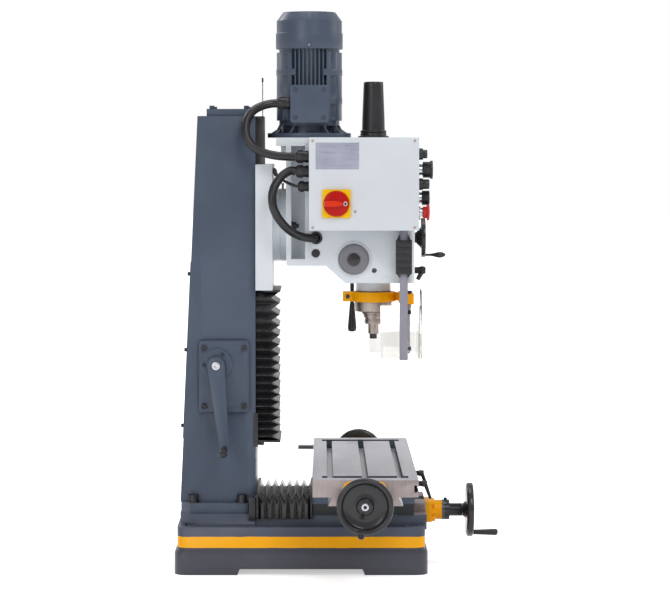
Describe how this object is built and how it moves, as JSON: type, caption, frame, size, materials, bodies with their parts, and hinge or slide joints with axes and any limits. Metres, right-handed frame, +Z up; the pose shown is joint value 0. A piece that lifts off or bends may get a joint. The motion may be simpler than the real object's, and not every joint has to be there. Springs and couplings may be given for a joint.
{
  "type": "mill drill",
  "caption": "Upright metalworking mill drill with a dovetail column, tilting geared head, sliding quill and compound cross-slide table.",
  "frame": {"origin": "On the floor, in the middle of the four base bolts.", "axes": "+Z up, +Y from the operator to the column, +X along the table to the operator's right."},
  "size_m": [1.113, 0.7735, 1.3285],
  "materials": {
    "slate_paint": "semi-gloss stoved enamel on castings",
    "white_paint": "semi-gloss pale grey enamel",
    "yellow_paint": "gloss yellow enamel",
    "ground_iron": "ground cast iron",
    "bright_steel": "turned and ground steel",
    "black_steel": "blackened steel",
    "bronze": "turned bronze",
    "bellows_rubber": "matt folded rubber cloth",
    "conduit_plastic": "matt black plastic",
    "black_plastic": "moulded black plastic",
    "spring_cap_grey": "satin grey",
    "clear_plastic": "clear sheet",
    "red_plastic": "gloss red",
    "stop_red": "gloss red",
    "green_plastic": "gloss dark",
    "switch_yellow": "gloss yellow"
  },
  "bodies": {
    "root": {"base_casting": "slate_paint", "column_casting": "slate_paint", "column_covers": "slate_paint", "frame_screws": "black_steel", "crank_gear_plate": "slate_paint", "column_bellows": "bellows_rubber", "cross_bellows": "bellows_rubber", "cross_bracket": "yellow_paint"},
    "z_saddle": {"z_saddle": "white_paint", "lift_nut": "bronze", "limit_rod": "bright_steel"},
    "lift_screw": {"lift_screw": "bright_steel"},
    "crank": {"crank_shaft": "bright_steel", "crank_arm": "slate_paint"},
    "crank_grip": {"crank_grip": "black_plastic"},
    "head": {"head_casting": "white_paint", "tilt_bolts": "black_steel", "motor_frame": "slate_paint", "fan_cowl": "slate_paint", "motor_conduit": "conduit_plastic", "head_conduit": "conduit_plastic", "sensor_lead": "conduit_plastic", "control_box": "white_paint", "control_box_cover": "white_paint", "switch_bases": "switch_yellow", "drawbar_cover": "black_plastic", "spring_cap": "spring_cap_grey", "dro_bar": "bright_steel"},
    "motor_rotor": {"motor_rotor": "bright_steel"},
    "countershaft": {"countershaft": "bright_steel"},
    "drive_sleeve": {"drive_sleeve": "bright_steel"},
    "quill": {"quill": "bright_steel", "guard_bracket": "yellow_paint", "dro_reader": "black_plastic"},
    "spindle": {"spindle": "bright_steel", "mill_arbor": "bright_steel"},
    "capstan": {"pinion_shaft": "bright_steel", "capstan_handles": "black_plastic"},
    "fine_feed": {"fine_feed_wheel": "black_plastic"},
    "guard": {"guard_shield": "clear_plastic", "guard_rod": "bright_steel"},
    "table": {"table": "ground_iron", "table_brackets": "yellow_paint"},
    "table_screw": {"table_screw": "bright_steel", "table_handwheels": "black_plastic"},
    "table_grip_left": {"table_grip_left": "black_plastic"},
    "table_grip_right": {"table_grip_right": "black_plastic"},
    "cross_saddle": {"cross_saddle": "slate_paint"},
    "cross_screw": {"cross_screw": "bright_steel", "cross_handwheel": "black_plastic"},
    "cross_grip": {"cross_grip": "black_plastic"},
    "table_lock_left": {"table_lock_left": "black_plastic"},
    "table_lock_right": {"table_lock_right": "black_plastic"},
    "quill_lock": {"quill_lock": "black_plastic"},
    "main_switch": {"main_switch": "red_plastic"},
    "stop_mushroom": {"stop_mushroom": "red_plastic"},
    "jog_button": {"jog_button": "black_plastic"},
    "start_button": {"start_button": "green_plastic"},
    "stop_button": {"stop_button": "stop_red"},
    "speed_knob": {"speed_knob": "black_plastic"}
  },
  "joints": [
    {"name": "head_lift", "type": "slide", "parent": "root", "child": "z_saddle", "axis": [0, 0, 1], "range_m": [-0.22, 0.1], "deforming": ["column_bellows"]},
    {"name": "lift_screw_turn", "type": "hinge", "parent": "root", "child": "lift_screw", "pos_m": [0, 0.201, 0.488], "axis": [0, 0, 1], "continuous": true},
    {"name": "crank_turn", "type": "hinge", "parent": "root", "child": "crank", "pos_m": [-0.105, 0.201, 0.488], "axis": [1, 0, 0], "continuous": true},
    {"name": "crank_grip_spin", "type": "hinge", "parent": "crank", "child": "crank_grip", "pos_m": [-0.2, 0.18051, 0.29307], "axis": [1, 0, 0], "continuous": true},
    {"name": "head_tilt", "type": "hinge", "parent": "z_saddle", "child": "head", "pos_m": [0, 0.037, 0.816], "axis": [0, 1, 0], "range_deg": [-45, 45], "deforming": ["motor_conduit", "sensor_lead"]},
    {"name": "motor_turn", "type": "hinge", "parent": "head", "child": "motor_rotor", "pos_m": [0, -0.0185, 1.1], "axis": [0, 0, 1], "continuous": true},
    {"name": "countershaft_turn", "type": "hinge", "parent": "head", "child": "countershaft", "pos_m": [0.02896, -0.09415, 0.95], "axis": [0, 0, 1], "continuous": true},
    {"name": "sleeve_turn", "type": "hinge", "parent": "head", "child": "drive_sleeve", "pos_m": [0, -0.173, 0.95], "axis": [0, 0, 1], "continuous": true},
    {"name": "quill_feed", "type": "slide", "parent": "head", "child": "quill", "axis": [0, 0, -1], "range_m": [0, 0.125]},
    {"name": "spindle_turn", "type": "hinge", "parent": "quill", "child": "spindle", "pos_m": [0, -0.173, 0.7], "axis": [0, 0, 1], "continuous": true},
    {"name": "capstan_turn", "type": "hinge", "parent": "head", "child": "capstan", "pos_m": [0, -0.124, 0.738], "axis": [1, 0, 0], "range_deg": [-5, 556]},
    {"name": "fine_feed_turn", "type": "hinge", "parent": "head", "child": "fine_feed", "pos_m": [0.055, -0.28, 0.783], "axis": [0, 1, 0], "continuous": true},
    {"name": "guard_swing", "type": "hinge", "parent": "quill", "child": "guard", "pos_m": [-0.094, -0.255, 0.58], "axis": [0, 0, -1], "range_deg": [0, 90]},
    {"name": "table_travel", "type": "slide", "parent": "cross_saddle", "child": "table", "axis": [1, 0, 0], "range_m": [-0.24, 0.24]},
    {"name": "table_screw_turn", "type": "hinge", "parent": "table", "child": "table_screw", "pos_m": [0, -0.145, 0.202], "axis": [1, 0, 0], "continuous": true},
    {"name": "table_grip_left_spin", "type": "hinge", "parent": "table_screw", "child": "table_grip_left", "pos_m": [-0.52, -0.1347, 0.14899], "axis": [1, 0, 0], "continuous": true},
    {"name": "table_grip_right_spin", "type": "hinge", "parent": "table_screw", "child": "table_grip_right", "pos_m": [0.52, -0.1553, 0.14899], "axis": [1, 0, 0], "continuous": true},
    {"name": "cross_travel", "type": "slide", "parent": "root", "child": "cross_saddle", "axis": [0, 1, 0], "range_m": [-0.095, 0.08], "deforming": ["cross_bellows"]},
    {"name": "cross_screw_turn", "type": "hinge", "parent": "root", "child": "cross_screw", "pos_m": [0, -0.3, 0.125], "axis": [0, 1, 0], "continuous": true},
    {"name": "cross_grip_spin", "type": "hinge", "parent": "cross_screw", "child": "cross_grip", "pos_m": [0, -0.43, 0.07], "axis": [0, 1, 0], "continuous": true},
    {"name": "table_lock_left_turn", "type": "hinge", "parent": "cross_saddle", "child": "table_lock_left", "pos_m": [-0.093, -0.28, 0.201], "axis": [0, 1, 0], "range_deg": [0, 60]},
    {"name": "table_lock_right_turn", "type": "hinge", "parent": "cross_saddle", "child": "table_lock_right", "pos_m": [0.093, -0.28, 0.201], "axis": [0, -1, 0], "range_deg": [0, 60]},
    {"name": "quill_lock_turn", "type": "hinge", "parent": "head", "child": "quill_lock", "pos_m": [0.04, -0.28, 0.704], "axis": [0, 1, 0], "range_deg": [0, 60]},
    {"name": "main_switch_turn", "type": "hinge", "parent": "head", "child": "main_switch", "pos_m": [-0.21, -0.0825, 0.8718], "axis": [1, 0, 0], "range_deg": [0, 90]},
    {"name": "stop_mushroom_push", "type": "slide", "parent": "head", "child": "stop_mushroom", "axis": [0, 1, 0], "range_m": [0, 0.005]},
    {"name": "jog_push", "type": "slide", "parent": "head", "child": "jog_button", "axis": [0, 1, 0], "range_m": [0, 0.004], "stiffness_N_per_m": 600, "springref_m": -0.001},
    {"name": "start_push", "type": "slide", "parent": "head", "child": "start_button", "axis": [0, 1, 0], "range_m": [0, 0.004], "stiffness_N_per_m": 600, "springref_m": -0.001},
    {"name": "stop_push", "type": "slide", "parent": "head", "child": "stop_button", "axis": [0, 1, 0], "range_m": [0, 0.004], "stiffness_N_per_m": 600, "springref_m": -0.001},
    {"name": "speed_knob_turn", "type": "hinge", "parent": "head", "child": "speed_knob", "pos_m": [-0.15, -0.29, 0.95], "axis": [0, 1, 0], "range_deg": [-135, 135]}
  ],
  "couplings": [
    {"joint": "lift_screw_turn", "follows": "head_lift", "rad_per_m": -1256.6},
    {"joint": "crank_turn", "follows": "head_lift", "rad_per_m": 1256.6},
    {"joint": "capstan_turn", "follows": "quill_feed", "rad_per_m": 76.923},
    {"joint": "sleeve_turn", "follows": "spindle_turn", "ratio": 1},
    {"joint": "countershaft_turn", "follows": "spindle_turn", "ratio": -1.8},
    {"joint": "motor_turn", "follows": "spindle_turn", "ratio": 3.6},
    {"joint": "table_screw_turn", "follows": "table_travel", "rad_per_m": 1570.8},
    {"joint": "cross_screw_turn", "follows": "cross_travel", "rad_per_m": 1570.8}
  ]
}
